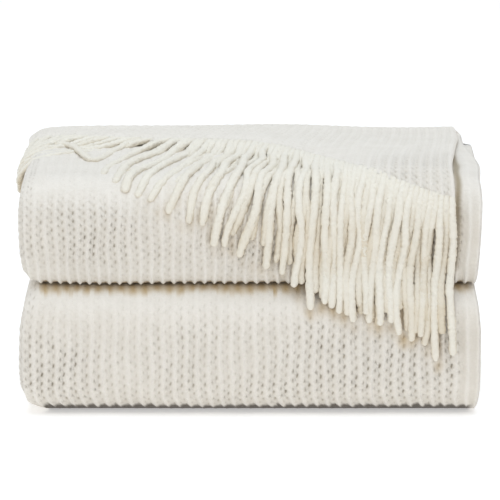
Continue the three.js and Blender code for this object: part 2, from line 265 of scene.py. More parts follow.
def end_roll(distance):
    """Rise of the rolled right end and share of the groove beside it, by distance from the edge: a half
    sine up to the groove, and a bell-shaped dip of 3 mm in it."""
    groove = bell(distance - ROLL_GROOVE, 0, 2.1, 1)
    rolled = 1.3 * np.sin(np.pi * np.clip(distance / (ROLL_GROOVE - 2), 0, 1))
    return rolled - 3.0 * groove, groove


def settle(points):
    """Eases the folded stack as soft cloth lies. By height, its levels rise a little, its ends draw in at
    the floor, between the tiers and at the top, and the lower tier comes forward and the upper one goes
    back. Its top corners sink and its levels wander by two sines. Nothing goes under the floor."""
    x, y, z = np.moveaxis(points, -1, 0)
    z = z + np.interp(z, LIFTED[:, 0], LIFTED[:, 1])
    left = np.interp(z, DRAWN_ENDS[:, 0], DRAWN_ENDS[:, 1])
    right = np.interp(z, DRAWN_ENDS[:, 0], DRAWN_ENDS[:, 2])
    right = right - 3.0 * smoothstep(z, 100, 125) * smoothstep(y, -80, -10) * (1 - smoothstep(z, 162, 168))
    y = y - LOWER_FORWARD + UPPER_BACK * smoothstep(z, 76, 108)
    moved = x + left * smoothstep(-x, 105, 160) - right * smoothstep(x, 120, 160)
    sunk = 1.2 * smoothstep(-x, 125, 162) ** 2 + 2.0 * smoothstep(x, 146, 162) ** 2
    wander = 0.9 * np.sin(x / 47 + y / 90 + 0.7) + 0.5 * np.sin(x / 23 - y / 60 + 2.0)
    lifted = z + wander * smoothstep(z, 40, 90) - sunk * smoothstep(z, 60, 170)
    return np.stack((moved, y, np.maximum(lifted, 0.0)), -1)


# Section of the strip. A run is one face or edge of the ribbon, an array each for x, depth, the outward
# direction's two parts, rib number, the knit's weight in the mesh and that of stitches in the material only.
RUNS = (
    "outer1", "left_outer", "outer4", "right_outer", "inner3", "left_core", "inner2", "edge2",
    "between12", "left_between", "between34", "right_inner", "inner4", "left_inner", "inner1", "edge1",
)
# Past the flap's fold the strip has lost layer 1, and a tear joins the two sides of the left loop there.
PARTED = RUNS[1:14] + ("tear",)
FLAP_RUNS = ("outer1", "tear", "inner1", "edge1")
# The two faces of each layer, which the hem joins.
FACING = (
    ("outer1", "inner1"), ("left_outer", "left_inner"), ("outer4", "inner4"),
    ("right_outer", "right_inner"), ("inner3", "between34"), ("left_core", "left_between"),
    ("inner2", "between12"),
)


def rib_places(start, stop, shares):
    """Rib numbers from start to stop: the given shares of every rib, and both ends."""
    ribs = np.arange(math.floor(start), math.ceil(stop) + 1)[:, None] + np.array(shares)[None, :]
    inner = ribs.ravel()
    margin = 0.06
    return np.concatenate(([start], inner[(inner > start + margin) & (inner < stop - margin)], [stop]))


def straight(start, stop, depth, out=0, rib=None, shares=COARSE):
    """Run of a straight face: two points if plain, or a point at each share of every rib."""
    x = np.array((start, stop))
    places = np.zeros(2)
    if rib is not None:
        first, last = sorted(((RIGHT_EDGE - start) / rib, (RIGHT_EDGE - stop) / rib))
        places = rib_places(first, last, shares)
        places = places if stop < start else places[::-1]
        x = RIGHT_EDGE - places * rib
        x[0], x[-1] = start, stop
    zero = np.zeros(len(x))
    return x, zero + depth, zero, zero + out, places, zero + (rib is not None), zero


def turned(x, depth, radius, start, stop, steps, rib=0.0, first=0.0, raised=False):
    """Run that turns about a centre, angles in degrees. Where rib is given, ribs run on round it from
    first, raised in the mesh or in the material alone."""
    angle = np.radians(np.linspace(start, stop, steps + 1))
    across, deep = np.cos(angle), np.sin(angle)
    places = first + radius * np.abs(angle - angle[0]) / rib if rib else np.zeros(steps + 1)
    weight = np.full(steps + 1, float(raised))
    edged = np.pad(np.full(steps - 1, EDGE_STITCH if rib else 0.0), 1)
    return x + radius * across, depth + radius * deep, across, deep, places, weight, edged


def selvedge(x, depth):
    """Run of a rounded free edge, from its inner to its outer side: half an oval, one rib wide."""
    angle = np.linspace(-np.pi / 2, np.pi / 2, SELVEDGE_POINTS)
    across, deep = x + SELVEDGE_BULGE * np.cos(angle), depth + HALF_CLOTH * np.sin(angle)
    zero = np.zeros(SELVEDGE_POINTS)
    edged = np.pad(np.full(SELVEDGE_POINTS - 2, EDGE_STITCH), 1)
    return across, deep, zero, zero, np.linspace(1, 2, SELVEDGE_POINTS), zero, edged


def strip_section(shown=None, rib=UPPER_RIB, shares=COARSE):
    """Runs of the four-layer strip as one ribbon, by name, each ending where the next begins. The shown
    face has the knit in its mesh."""
    loop = LAYER_PITCH / 2
    past = (RIGHT_EDGE - LEFT_LOOP) / rib

    def face(name, start, stop, depth, out):
        return straight(start, stop, depth, out, rib if shown == name else None, shares)

    runs = dict(
        outer1=face("outer1", RIGHT_EDGE, LEFT_LOOP, ONE + HALF_CLOTH, 1),
        left_outer=turned(LEFT_LOOP, 0, HALF_STRIP, 90, 270, 24, rib, past, shown == "outer1"),
        outer4=face("outer4", LEFT_LOOP, RIGHT_LOOP, FOUR - HALF_CLOTH, -1),
        right_outer=turned(RIGHT_LOOP, -LAYER_PITCH, loop + HALF_CLOTH, -90, 90, 8, rib, 1.0),
        inner3=straight(RIGHT_LOOP, LEFT_LOOP, THREE + HALF_CLOTH),
        left_core=turned(LEFT_LOOP, 0, loop - HALF_CLOTH, 270, 90, 3),
        inner2=straight(LEFT_LOOP, SECOND_EDGE, TWO - HALF_CLOTH),
        edge2=selvedge(SECOND_EDGE, TWO),
        between12=face("between12", SECOND_EDGE, LEFT_LOOP, TWO + HALF_CLOTH, 1),
        left_between=turned(LEFT_LOOP, 0, loop + HALF_CLOTH, 90, 270, 5),
        between34=straight(LEFT_LOOP, RIGHT_LOOP, THREE - HALF_CLOTH),
        right_inner=turned(RIGHT_LOOP, -LAYER_PITCH, loop - HALF_CLOTH, 90, -90, 3),
        inner4=straight(RIGHT_LOOP, LEFT_LOOP, FOUR + HALF_CLOTH),
        left_inner=turned(LEFT_LOOP, 0, ONE - HALF_CLOTH, 270, 90, 6),
        inner1=straight(LEFT_LOOP, RIGHT_EDGE, ONE - HALF_CLOTH),
        edge1=selvedge(RIGHT_EDGE, ONE),
    )
    sides = zip(runs["left_inner"], runs["left_outer"])
    runs["tear"] = tuple(np.array((inner[-1], outer[0])) for inner, outer in sides)
    return runs


def packed(runs, names):
    """Runs joined in order into one ring without their doubled ends, and each run's number of points."""
    chosen = [runs[name] for name in names]
    arrays = [np.concatenate([part[:-1] for part in parts]) for parts in zip(*chosen)]
    return arrays, {name: len(runs[name][0]) - 1 for name in names}


class Shell:
    """One closed mesh, collected from grids of rings and strips that join rings of unlike run lengths."""

    def __init__(self):
        self.points, self.marks, self.faces = [], [], []
        self.count = 0

    def grid(self, points, marks, sizes):
        """Adds rows of closed rings with quads between them. Returns the first and last ring as point
        numbers by run. sizes counts each run's points without its last, which is the next run's first."""
        rows, columns = points.shape[:2]
        index = self.count + np.arange(rows * columns).reshape(rows, columns)
        self.points.append(points.reshape(-1, 3))
        self.marks.append(marks.reshape(-1, 6))
        self.count += rows * columns
        wrapped = np.concatenate((index, index[:, :1]), 1)
        if rows > 1:
            a, b = wrapped[:-1, :-1], wrapped[1:, :-1]
            c, d = wrapped[1:, 1:], wrapped[:-1, 1:]
            self.triangles(np.stack((a, b, c), -1), np.stack((a, c, d), -1))
        starts = np.concatenate(([0], np.cumsum(list(sizes.values()))))
        spans = list(zip(sizes, starts[:-1], starts[1:] + 1))
        rings = (wrapped[0], wrapped[-1])
        return [{name: ring[start:stop] for name, start, stop in spans} for ring in rings]

    def triangles(self, *groups):
        """Adds groups of triangles given as point numbers."""
        self.faces.extend(group.reshape(-1, 3) for group in groups)

    def zip(self, a, b):
        """Joins two edges that run the same way by stepping along whichever has its next point sooner."""
        steps = np.concatenate((np.arange(1, len(a)) / (len(a) - 1), np.arange(1, len(b)) / (len(b) - 1)))
        order = np.argsort(steps, kind="stable")
        on_a = order < len(a) - 1
        i = np.cumsum(on_a) - on_a
        j = np.cumsum(~on_a) - ~on_a
        third = np.where(on_a, a[np.minimum(i + 1, len(a) - 1)], b[np.minimum(j + 1, len(b) - 1)])
        self.triangles(np.stack((a[i], b[j], third), -1))

    def join(self, ring, following, names):
        """Joins two rings run by run."""
        for name in names:
            self.zip(ring[name], following[name])

    def fan(self, edge, turn):
        """Closes the rounded end of a ribbon: triangles from the edge's first point."""
        first = np.full(len(edge) - 2, edge[0])
        pair = (edge[1:-1], edge[2:]) if turn else (edge[2:], edge[1:-1])
        self.triangles(np.stack((first, *pair), -1))


def bend_path(leaf, following):
    """Middle line of the bend between two leaves: quarter turn of the foot, upright stretch, quarter turn
    of the full radius, in even steps of its outer face. Returns y, z, heading, the length walked along the
    outer face and the angle turned."""
    radius = leaf["radius"]
    foot = leaf.get("foot", radius)
    rise = following["level"] - leaf["level"]
    up = math.copysign(1.0, rise)
    away = math.copysign(1.0, leaf["ends"])
    upright = abs(rise) - foot - radius
    below = (foot + HALF_STRIP) * np.pi / 2
    above = (radius + HALF_STRIP) * np.pi / 2
    walked = np.linspace(0, below + upright + above, leaf["rows"] + 1)
    first = np.clip(walked / below, 0, 1) * np.pi / 2
    climb = np.clip(walked - below, 0, upright)
    second = np.clip((walked - below - upright) / above, 0, 1) * np.pi / 2
    y = leaf["ends"] + away * (radius * np.cos(second) - foot * (1 - np.sin(first)))
    z = leaf["level"] + up * (foot * (1 - np.cos(first)) + climb + radius * np.sin(second))
    angle = first + second
    return y, z, np.arctan2(up * np.sin(angle), away * np.cos(angle)), walked, angle


def drawn_in(x):
    """Share by which a thread of the flap's layer is drawn in from the right at the rear."""
    return smoothstep(x, 90, RIGHT_EDGE)


def behind_strands(x, points, tips):
    """Share of the painted tan shadow that the strands cast on the cloth behind them, whose tips give x
    and height: full from just under the tips upwards, uneven by waves, weaker on the upper tier and gone
    at its top."""
    height = points[..., 2]
    shade = smoothstep(height - np.interp(points[..., 0], *tips), -16, -3)
    shade = shade * smoothstep(x, -90, -60) * smoothstep(138 - x, 0, 8)
    uneven = np.clip(0.7 + 0.5 * waves(x[None, :], height, 41, low=0.12, high=0.5), 0, 1.3)
    strength = 0.66 - 0.44 * smoothstep(height, 80, 90)
    return shade * uneven * strength * (1 - smoothstep(height, 140, 168))


def strip_rows(runs, names, path, rise, rows_before, puff=0.0, deepen=1.0, crease_shade=UNMARKED, shadow=UNMARKED,
               roll=0.0, draw=0.0, lean=0.0, opened=1.0, tips=None):
    """Rings of the strip at the stations of a path, their marks and the sizes of their runs. A ring is the
    section set square to the path's heading, with the knit raised along its outward direction. rise: share
    of the knit's height; rows_before: rows of stitches since the first bend; puff: swelling; deepen: factor
    on the knit's hollows; the crease and shadow marks: how far a station lies inside the painted tan crease
    shade and the painted shadow, in parts of its soft edge; roll: share of the rolled end; draw: how far
    layer 1 is drawn in; lean: sideways shift of the ribs; opened: share of the holes; tips: ends of the
    strands in front, which cast a painted shadow on the cloth."""
    y, z, heading, walked = path
    (x, depth, across, deep, places, weight, edged), sizes = packed(runs, names)
    on_outer = np.concatenate([np.full(sizes[name], name == "outer1") for name in names])
    on_flap = np.concatenate([np.full(sizes[name], name in FLAP_RUNS) for name in names])
    raised = weight * column(rise)
    height, hollow, stitches = knit(places[None, :], column(walked) / STITCH, open_share=column(opened))
    rib, row = stitches[..., 0], stitches[..., 1]
    stitches[..., 2] = stitches[..., 2] * raised + edged * (1 - raised)

    wander = 0.5 * np.sin(0.9 * row + 0.7 * places) + 0.45 * waves(rib, row, 31, low=0.2, high=0.7)
    sway = weight * smoothstep(RIGHT_EDGE - np.abs(x), 0, 14) * (wander + column(lean))
    rolled, groove = end_roll(RIGHT_EDGE - x)
    on_roll = column(roll) * ((places > 0) & (places < ROLL_RIBS))
    groove = on_roll * groove
    height = np.where(height < 0, height * column(deepen), height) + on_roll * rolled
    swollen = 0.5 + 0.3 * np.sin(x / 41 + 2) + 0.2 * np.sin(x / 17 + 4)
    swell = puff * swollen * column(np.sin(np.linspace(0, np.pi, len(y)))) ** 2
    relief = weight * (column(rise) * height + swell)
    across_at = x[None, :] + across * relief + sway - column(draw) * drawn_in(x) * on_flap
    depth_at = depth[None, :] + deep * relief
    sine, cosine = np.sin(column(heading)), np.cos(column(heading))
    points = settle(np.stack((across_at, column(y) - depth_at * sine, column(z) + depth_at * cosine), -1))

    numbered = np.clip(np.floor(2.5 * places).astype(int), 0, RAGGED_THREADS - 1)
    ragged = np.random.default_rng(17).uniform(-0.35, 0.4, RAGGED_THREADS)[numbered]
    # Painted tan crease shade and painted shadow, ragged at their edge, also painted in the groove beside
    # the rolled end; above the strands' tips the cloth gets a painted tan shadow of them.
    painted_tan_shade = np.maximum(smoothstep(column(crease_shade) + ragged, 0, 1), 0.6 * groove)
    dim = np.maximum(0.9 * smoothstep(column(shadow) + 0.8 * ragged, 0, 1), 0.25 * groove)
    if tips is not None:
        painted_tan_shade = np.maximum(painted_tan_shade, behind_strands(x, points, tips))
    inward = np.where(on_outer, smoothstep(RIGHT_EDGE - np.abs(x), 0, 8), 0)
    # The painted crease shade is stronger between the ribs.
    between_ribs = 0.78 - 0.22 * np.cos(2 * np.pi * places)
    # Painted shade in the knit's hollows and in the groove beside the rolled end.
    painted_shade = np.maximum(raised * hollow, groove)
    thread = np.stack(np.broadcast_arrays(painted_shade, painted_tan_shade * inward * between_ribs, dim * inward), -1)
    stitches[..., 1] += rows_before
    return points, np.concatenate((thread, stitches), -1), sizes


def hidden_bend(share, angle):
    """Finish of a bend at the back or inside: knit that rises at its start and fades at its end."""
    return dict(rise=smoothstep(angle, 0, 0.25) * (1 - smoothstep(share, 0.94, 1)))


def lower_front(share, angle):
    """Finish of the lower tier's front: ribs that lean at the foot, painted tan crease shade near its top,
    painted shadow at the floor and in the gap under the upper tier. share and angle give the way round
    the bend."""
    return dict(
        rise=smoothstep(angle, 0.15, 0.7) * (1 - 0.8 * smoothstep(share, 0.58, 0.86)),
        opened=0.25 + 0.72 * smoothstep(share, 0.12, 0.34),
        lean=5.0 * (1 - smoothstep(angle, 0.1, 1.1)),
        crease_shade=(angle - 2.32) / 0.3,
        shadow=np.maximum((0.66 - angle) / 0.15, (angle - 2.96) / 0.12),
    )


def upper_front(share, angle):
    """Finish of the upper tier's front: deeper knit, painted tan crease shade and painted shadow at its
    foot, the rolled end above.
    """
    return dict(
        rise=smoothstep(angle, 0, 0.25) * (1 - 0.8 * smoothstep(share, 0.58, 0.82)),
        opened=0.25 + 0.6 * smoothstep(share, 0.12, 0.34),
        deepen=1 + 0.8 * (1 - smoothstep(angle, 0.1, 0.7)),
        crease_shade=(0.36 - angle) / 0.16,
        shadow=(0.20 - angle) / 0.16,
        roll=smoothstep(angle, 1.0, 2.0),
    )


def top_leaf(walked, rows_before):
    """Rings along the top leaf from the front to the rear, where layer 1 is drawn in for the flap."""
    steps = np.linspace(0, 1, TOP_ROWS + 1)[1:]
    y = FRONT_LINE + (BACK_LINE - FRONT_LINE) * steps
    path = y, np.full(TOP_ROWS, UPPER_LEVEL), np.zeros(TOP_ROWS), walked + y - FRONT_LINE
    draw = FLAP_DRAWN * smoothstep(steps, 0.3, 0.9)
    runs = strip_section("outer1")
    return strip_rows(runs, RUNS, path, rise=0.2, rows_before=rows_before, roll=1.0, draw=draw)


def hem_ring(names, level, heading, rows_before):
    """One plain ring where the strip ends inside the stack."""
    path = np.full(1, INNER_BACK), np.full(1, level), np.full(1, heading), np.zeros(1)
    return strip_rows(strip_section(), names, path, rise=0.0, rows_before=rows_before)


def drape(x, reach, raised):
    """Point of the surface on which flap and fringe lie, raised along its normal: straight over the top, a
    quarter turn round the upper bend, then straight down."""
    along = reach - (DRAPE_REAR - DRAPE_TURN)
    angle = np.clip(along / DRAPE_RADIUS, 0, np.pi / 2)
    below = np.maximum(along - DRAPE_RADIUS * np.pi / 2, 0)
    radius = DRAPE_RADIUS + raised
    y = DRAPE_TURN - np.minimum(along, 0) - radius * np.sin(angle)
    z = DRAPE_LEVEL - DRAPE_RADIUS + radius * np.cos(angle) - below
    return np.stack(np.broadcast_arrays(x, y, z), -1)


def end_angle(x):
    """Angle by which what reaches past the left end has turned down over it."""
    return np.clip((END_TURN - x) / END_RADIUS, 0, np.pi / 2)


def over_left_end(points):
    """Turns what reaches past the left end down over it: a quarter turn at END_TURN, then straight."""
    beyond = np.maximum(END_TURN - points[..., 0], 0)
    angle = end_angle(points[..., 0])
    x = np.maximum(points[..., 0], END_TURN) - END_RADIUS * np.sin(angle)
    z = points[..., 2] - END_RADIUS * (1 - np.cos(angle)) - np.maximum(beyond - END_RADIUS * np.pi / 2, 0)
    return np.stack((x, points[..., 1], z), -1)


def hem_reach(x):
    """Reach of the flap's hem from the rear: a gentle slope and a soft step, 1 / (1 + exp)."""
    return HEM_LEFT + HEM_SLOPE * (x - FLAP_LEFT) + HEM_STEP / (1 + np.exp((HEM_MIDDLE - x) / HEM_SOFTNESS))


def hem_x(x):
    """Where a thread of the flap lies at its hem: evenly from FLAP_LEFT to FLAP_SHIFT inside the edge."""
    share = (x - LEFT_LOOP) / (RIGHT_EDGE - LEFT_LOOP)
    return FLAP_LEFT + (RIGHT_EDGE - FLAP_SHIFT - FLAP_LEFT) * share


def hem_point(x, out):
    """Across and reach of the flap's hem, pushed out from the cloth by a distance."""
    reach = hem_reach(x)
    slope = hem_reach(x + 0.5) - hem_reach(x - 0.5)
    length = np.hypot(slope, 1)
    return x - out * slope / length, reach + out / length


def flap_section():
    """Section of the flap: x, depth, rib number and weight of the knit, along the plain underside from the
    right, back along the knit side and round the selvedge. The sizes name its runs as the strip's layer 1
    has them."""
    under = np.linspace(RIGHT_EDGE, LEFT_LOOP, FLAP_UNDER_POINTS)
    ribs = (RIGHT_EDGE - LEFT_LOOP) / UPPER_RIB
    close = rib_places(0.0, FLAP_FINE_RIBS, FINE)
    places = np.concatenate((close, rib_places(FLAP_FINE_RIBS, ribs, COARSE)[1:]))[::-1]
    upper = RIGHT_EDGE - places * UPPER_RIB
    upper[0], upper[-1] = LEFT_LOOP, RIGHT_EDGE
    edge = np.linspace(np.pi / 2, -np.pi / 2, SELVEDGE_POINTS)[1:-1]
    x = np.concatenate((under, upper, RIGHT_EDGE + SELVEDGE_BULGE * np.cos(edge)))
    faces = np.repeat((-HALF_CLOTH, HALF_CLOTH), (len(under), len(upper)))
    deep = np.concatenate((faces, HALF_CLOTH * np.sin(edge)))
    rib = np.concatenate((0 * under, places, 0 * edge))
    weight = np.concatenate((0 * under, np.pad(np.ones(len(upper) - 2), 1), 0 * edge))
    sizes = dict(outer1=len(under) - 1, tear=1, inner1=len(upper) - 1, edge1=SELVEDGE_POINTS - 1)
    return x, deep, rib, weight, sizes


def flap_marks(painted_shade, stitches, worked):
    """Marks of the flap: painted shade in its hollows, no painted crease shade or shadow, and its stitches
    at a share of their weight.
    """
    none = np.zeros_like(painted_shade)
    stitches[..., 2] *= worked
    return np.concatenate((np.stack((painted_shade, none, none), -1), stitches), -1)


def flap_grid():
    """The flap: half a turn at the rear of the top layer, then its cloth over the drape to the hem, knit
    side up, softly swollen, its hem pressed down and its left side spread and turned down over the end."""
    x, deep, rib, weight, sizes = flap_section()
    spread = FLAP_SPREAD * smoothstep(-x, 60, -LEFT_LOOP)
    drawn = x - FLAP_DRAWN * drawn_in(x)

    angle = column(np.linspace(0, np.pi, FLAP_LOOP_ROWS + 1))
    walked = column(np.linspace(0, FLAP_RISE, FLAP_LOOP_ROWS + 1))
    height, hollow, stitches = knit(rib[None, :], walked / STITCH)
    radius = FLAP_RISE / 2 + deep + 0.15 * weight * height
    across = drawn - spread * smoothstep(angle, 0, np.pi)
    level = DRAPE_LEVEL - FLAP_RISE / 2 - radius * np.cos(angle)
    loop = np.stack((across, DRAPE_REAR + radius * np.sin(angle), level), -1)
    loop = loop + (over_left_end(loop) - loop) * smoothstep(angle, 0, np.pi)[..., None]
    loop_marks = flap_marks(0.25 * weight * hollow, stitches, 0.3 * weight)

    share = column(1 - (1 - np.arange(1, FLAP_ROWS + 1) / FLAP_ROWS) ** 1.4)
    end = hem_x(x)
    reach = share * hem_reach(end)
    height, hollow, stitches = knit(rib[None, :], (reach + FLAP_RISE) / STITCH, plain=-0.6)
    start = drawn - spread
    across = start + (end - start) * smoothstep(share, 0, 1)
    swell = 0.7 * waves(across, reach, 21) * smoothstep(share, 0, 0.2)
    shown = 0.4 + 0.8 * smoothstep(reach, 105, 170) * smoothstep(across, 65, 115)
    raised = deep + shown * weight * height + swell - 2.2 * smoothstep(share, 0.7, 1)
    sheet = over_left_end(drape(across, reach, raised))
    sheet_marks = flap_marks(0.6 * shown * weight * hollow, stitches, 0.5 * shown * weight)
    return settle(np.concatenate((loop, sheet))), np.concatenate((loop_marks, sheet_marks)), sizes


def cloth_shell(tips):
    """The whole cloth: rings round every bend and along the top leaf, plain panels between them, the flap
    where layer 1 leaves at the rear of the top leaf, and the hems. tips: x and height of strands' ends,
    above which the fronts get a painted shadow of the strands."""
    fronts = {LOWER_FRONT: lower_front, UPPER_FRONT: upper_front}
    shell = Shell()
    rows_before = -round((INNER_BACK - INNER_FRONT) / STITCH)
    ring, _ = shell.grid(*hem_ring(RUNS, LEAVES[0]["level"], np.pi, rows_before))
    for a, b in FACING:
        shell.zip(ring[b][::-1], ring[a])
    shell.fan(ring["edge1"], True)
    shell.fan(ring["edge2"], True)

    rows_before = 0
    for k, leaf in enumerate(LEAVES[:-1]):
        following = LEAVES[k + 1]
        names = PARTED if k > UPPER_FRONT else RUNS
        *path, angle = bend_path(leaf, following)
        length = path[-1][-1]
        finish = fronts.get(k, hidden_bend)(path[-1] / length, angle)
        if k in fronts:
            finish.update(puff=FRONT_PUFF, tips=tips)
        rows = strip_rows(strip_section(**leaf["look"]), names, path, rows_before=rows_before, **finish)
        first, last = shell.grid(*rows)
        shell.join(ring, first, names)
        ring = last
        if k == UPPER_FRONT:
            first, last = shell.grid(*top_leaf(length, rows_before))
            shell.join(ring, first, RUNS)
            ring = dict(last, tear=np.array((last["left_inner"][-1], last["left_outer"][0])))
            root = dict(last, tear=ring["tear"][::-1])
        rows_before += round((length + abs(following["ends"] - leaf["ends"])) / STITCH)

    first, _ = shell.grid(*hem_ring(PARTED, LEAVES[-1]["level"], 0.0, rows_before))
    shell.join(ring, first, PARTED)
    for a, b in FACING[1:]:
        shell.zip(first[a], first[b][::-1])
    shell.fan(first["edge2"], False)

    first, hem = shell.grid(*flap_grid())
    shell.join(root, first, FLAP_RUNS)
    shell.zip(hem["outer1"], hem["inner1"][::-1])
    shell.fan(hem["edge1"], False)
    return shell


def strand_courses(random, root, under):
    """Across, reach and length walked of every strand and of the bow. A strand starts a little under the
    hem, is shifted sideways by a parabola through root, half and tip, taken between its two nearest guides,
    and goes ahead by what is left of each step. The bow is a bell between its two ends."""
    half, tip, length = (np.interp(-root, -GUIDES[:, 0], GUIDES[:, k]) for k in (1, 2, 3))
    shorter = 1 - under * (0.06 + 0.3 * smoothstep(-root, -20, 60))
    step = (length + random.uniform(-8, 8, root.shape)) * shorter / STRAND_ROWS
    share = np.linspace(0, 1, STRAND_ROWS + 1)
    x, reach = hem_point(root, -ROOT_OVERLAP)
    x = x + share * (4 * half - tip + (2 * tip - 4 * half) * share)
    ahead = np.sqrt(np.maximum(step ** 2 - np.diff(x, axis=1) ** 2, (0.1 * step) ** 2))
    reach = np.concatenate((reach, reach + np.cumsum(ahead, 1)), 1)
    bow = np.linspace(*BOW_ENDS, STRAND_ROWS + 1)[None, :]
    bow_reach = BOW_REACH + BOW_HANG * bell(bow - BOW_MIDDLE, 0, BOW_WIDTH, 1)
    along = np.concatenate((step, [[BOW_STEP]])) * np.arange(STRAND_ROWS + 1)
    return np.concatenate((x, bow)), np.concatenate((reach, bow_reach)), along


def fringe_paths():
    """Middle lines of the strands and the bow, laid on the drape: each waves a little sideways and lies
    more or less proud of its neighbours, by sines along it. Returns paths with outward directions, radii,
    turns of twist and tones, one for each strand, the bow last; a tone is random, with painted shade
    added on the strands that lie under."""
    random = np.random.default_rng(8)
    root = column(np.concatenate((STRAND_ROOTS, UNDER_ROOTS)))
    on_top = len(STRAND_ROOTS)
    under = np.zeros((len(root) + 1, 1))
    under[on_top:-1] = 1.0
    flat = np.zeros((len(root) + 1, 1))
    flat[FLAT_FROM:on_top] = column(np.linspace(1, 0, on_top - FLAT_FROM))

    def pick(low, high):
        return random.uniform(low, high, (len(root) + 1, 1))

    x, reach, along = strand_courses(random, root, under[:-1])
    loose = smoothstep(along, 4, 40)
    wave = pick(0.5, 1.9) * np.sin(along / pick(10, 18) + pick(0, FULL_TURN)) + pick(-1.0, 1.0) * along / 70
    sunk = np.concatenate((smoothstep(-root, -20, 30), [[0.6]]))
    ripple = np.sin(along / pick(14, 26) + pick(0, FULL_TURN))
    proud = -0.7 + loose * (-1.7 - 2.0 * sunk + ripple - 1.7 * under - 1.6 * flat)
    x = x + loose * wave
    laid = drape(x, reach, proud)
    out_x, out_y, out_z = np.moveaxis(drape(x, reach, proud + 1.0) - laid, -1, 0)
    sine, cosine = np.sin(end_angle(x)), np.cos(end_angle(x))
    outward = np.stack((out_x * cosine - out_z * sine, out_y, out_x * sine + out_z * cosine), -1)
    # Tone: random for each strand, plus painted shade on the strands that lie under.
    tones_and_shade = pick(0.0, 0.4) + 0.4 * under
    radii = STRAND_RADIUS * pick(0.9, 1.1)
    radii[:-1] *= 1 + 0.08 * smoothstep(-root, -20, 30)
    turns = pick(0, FULL_TURN)
    paths = np.concatenate((settle(over_left_end(laid)), outward), -1)
    return paths, radii[:, 0], turns[:, 0], tones_and_shade[:, 0]


def strand_frames(paths, radii):
    """Middle points of the strands with rounded tips added, the directions sideways and outward, and the
    length walked. paths holds a point and an outward direction for each strand and row."""
    extra = len(TIP_STEPS)
    end = paths[:, -1:, :3] - paths[:, -2:-1, :3]
    end = end / np.linalg.norm(end, axis=-1, keepdims=True)
    rounded = paths[:, -1:, :3] + end * radii[:, None, None] * 0.9 * TIP_STEPS[:, None]
    centre = np.concatenate((paths[..., :3], rounded), 1)
    outward = np.concatenate((paths[..., 3:], np.repeat(paths[:, -1:, 3:], extra, 1)), 1)
    tangent = np.gradient(centre, axis=1)
    tangent /= np.linalg.norm(tangent, axis=-1, keepdims=True)
    side = np.cross(tangent, outward)
    side /= np.linalg.norm(side, axis=-1, keepdims=True)
    step = np.linalg.norm(np.diff(centre, axis=1), axis=-1)
    walked = np.concatenate((np.zeros((len(centre), 1)), np.cumsum(step, 1)), 1)
    return centre, side, np.cross(side, tangent), walked


def tube_faces(strands, rows, sides):
    """Triangles of closed tubes: quads cut in two between rings, and a fan to a pole at each end. The poles
    follow the rings' points, first all the near ones."""
    index = np.arange(strands * rows * sides).reshape(strands, rows, sides)
    wrapped = np.concatenate((index, index[..., :1]), 2)
    a, b = wrapped[:, :-1, :-1], wrapped[:, 1:, :-1]
    c, d = wrapped[:, 1:, 1:], wrapped[:, :-1, 1:]
    poles = strands * rows * sides + np.arange(2 * strands).reshape(2, strands, 1)
    near = np.stack(np.broadcast_arrays(poles[0], wrapped[:, 0, :-1], wrapped[:, 0, 1:]), -1)
    far = np.stack(np.broadcast_arrays(poles[1], wrapped[:, -1, 1:], wrapped[:, -1, :-1]), -1)
    groups = (np.stack((a, b, c), -1), np.stack((a, c, d), -1), near, far)
    return np.concatenate([group.reshape(-1, 3) for group in groups])


def strand_tubes(paths, radii, turns, tones_and_shade):
    """Chenille strands as tubes: flattened circles carried along each path, fluted by two sines that twist
    along it, rough by random amounts, thinner at the root and blunt at the tip. They get painted shade at
    the root and on the sides turned away from outward, and their own tone, random but painted shade on
    the strands that lie under, growing towards the tip; all of it is less where they lie flat and face
    up into the light."""
    centre, side, upward, walked = strand_frames(paths, radii)
    extra = len(TIP_STEPS)
    around = np.linspace(0, 2 * np.pi, STRAND_SIDES, endpoint=False)
    twist = turns[:, None, None] + walked[..., None] / 3.4
    fluted = 1 + 0.05 * np.sin(2 * around + twist) + 0.03 * np.sin(5 * around - 0.7 * twist)
    random = np.random.default_rng(3)
    fluted = fluted + random.normal(0, 0.085, fluted.shape) + random.normal(0, 0.05, (*fluted.shape[:2], 1))
    left = np.maximum(walked[:, -extra - 1:-extra] - walked, 0)
    blunt = np.concatenate((np.ones(walked.shape[1] - extra), np.sqrt(1 - TIP_STEPS ** 2)))
    blunt = blunt * (0.9 + 0.1 * smoothstep(left, 0, 14))
    rooted = 0.75 + 0.25 * smoothstep(walked, 0, 9)
    size = (radii[:, None] * blunt * rooted)[..., None] * fluted
    sideways = np.cos(around)[:, None] * side[:, :, None]
    outward = STRAND_FLATNESS * np.sin(around)[:, None] * upward[:, :, None]
    ring = centre[:, :, None] + size[..., None] * (sideways + outward)

    # Painted shade: more at the root and on the sides turned away from outward, less where a strand lies
    # flat and faces up into the light.
    flat = np.clip(upward[..., 2:], 0, 1)
    rooting = 1.8 - 0.8 * smoothstep(walked, 5, 14)[..., None]
    toned = tones_and_shade[:, None, None] * (0.3 + 0.7 * smoothstep(walked, 15, 70)[..., None])
    shade = (rooting * (1 - np.maximum(np.sin(around), 0)) ** 1.4 + toned) * (1 - 0.75 * flat)
    marks = np.stack((shade, 0 * shade, 0 * shade), -1)
    points = np.concatenate((ring.reshape(-1, 3), centre[:, 0], centre[:, -1]))
    marks = np.concatenate((marks.reshape(-1, 3), marks[:, 0, 0], marks[:, -1, 0]))
    return points, marks, tube_faces(*ring.shape[:3])


